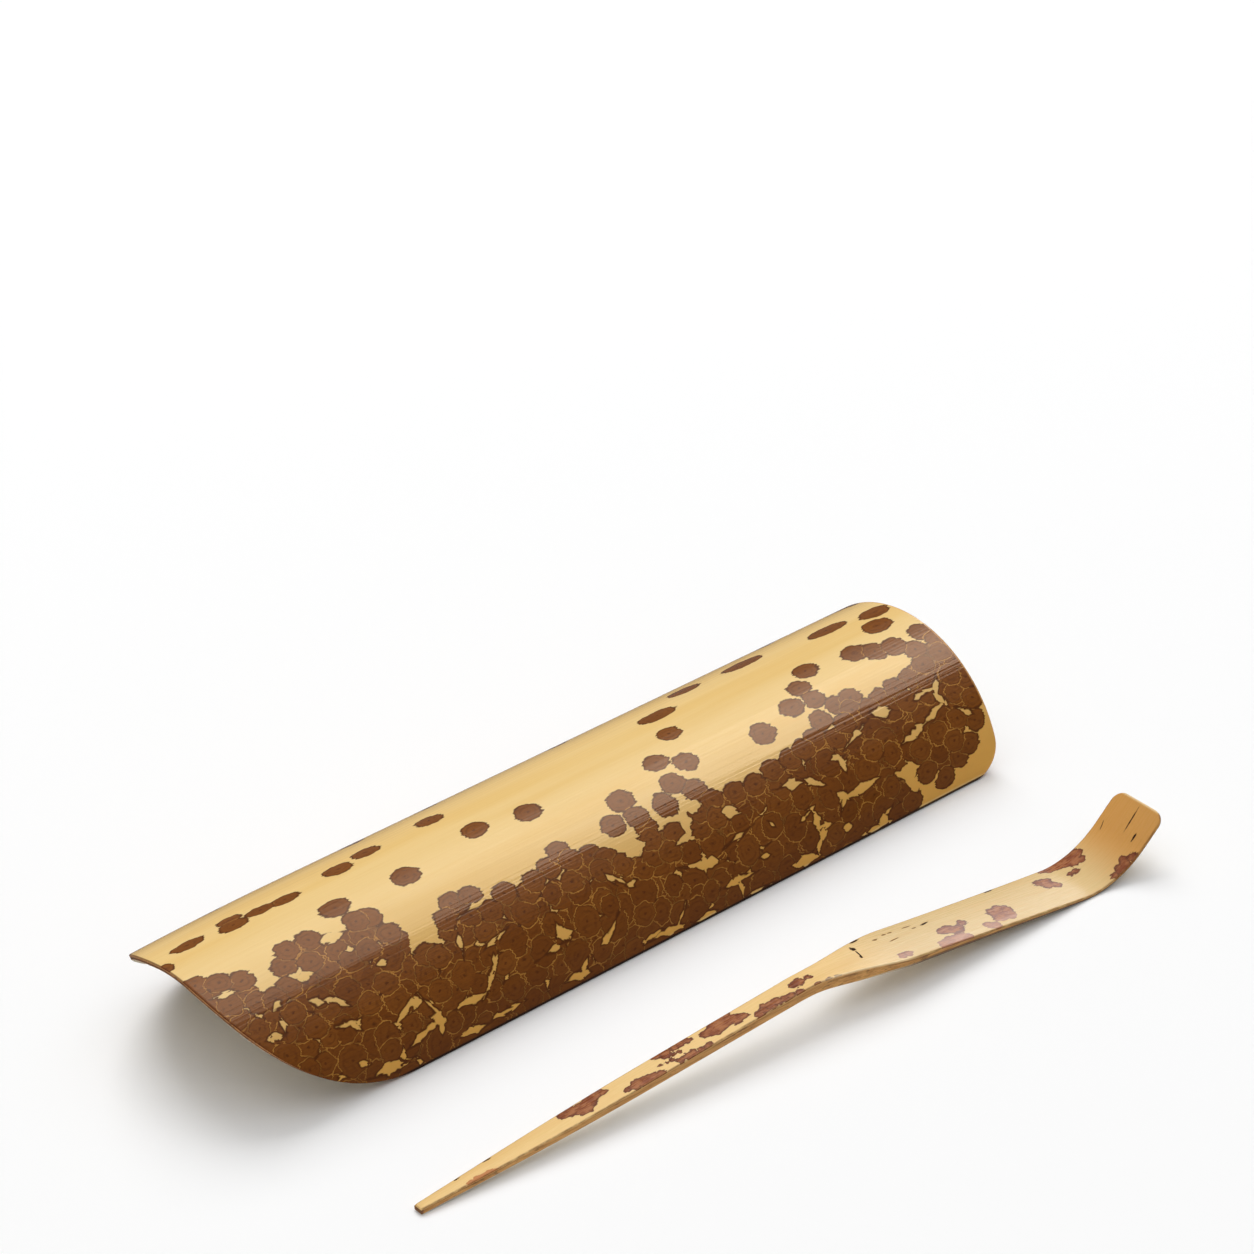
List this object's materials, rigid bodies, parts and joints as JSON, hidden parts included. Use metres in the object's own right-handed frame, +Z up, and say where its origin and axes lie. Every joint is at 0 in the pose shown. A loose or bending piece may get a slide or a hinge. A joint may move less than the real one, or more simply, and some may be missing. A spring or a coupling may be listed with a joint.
{
  "type": "bamboo tea scoop",
  "caption": "Half-culm spotted bamboo trough with a rounded tongue end for holding tea leaves, with a slim bent-tip bamboo hand scoop beside it.",
  "frame": {"origin": "on the table under the middle of the set's box", "axes": "+X along the trough from its tongue to its square-cut end, +Y from the scoop to the trough, +Z up"},
  "size_m": [0.17, 0.0898, 0.0225],
  "materials": {
    "trough_bamboo": "lacquered spotted bamboo skin, golden with brown blotches",
    "scoop_bamboo": "polished spotted bamboo, golden with a few red-brown blotches"
  },
  "bodies": {
    "trough": {"leaf_trough": "trough_bamboo"},
    "scoop": {"leaf_scoop": "scoop_bamboo"}
  },
  "joints": [
    {"name": "scoop_lift", "type": "slide", "parent": "trough", "child": "scoop", "axis": [0, 0, 1], "range_m": [0, 0.06]}
  ]
}
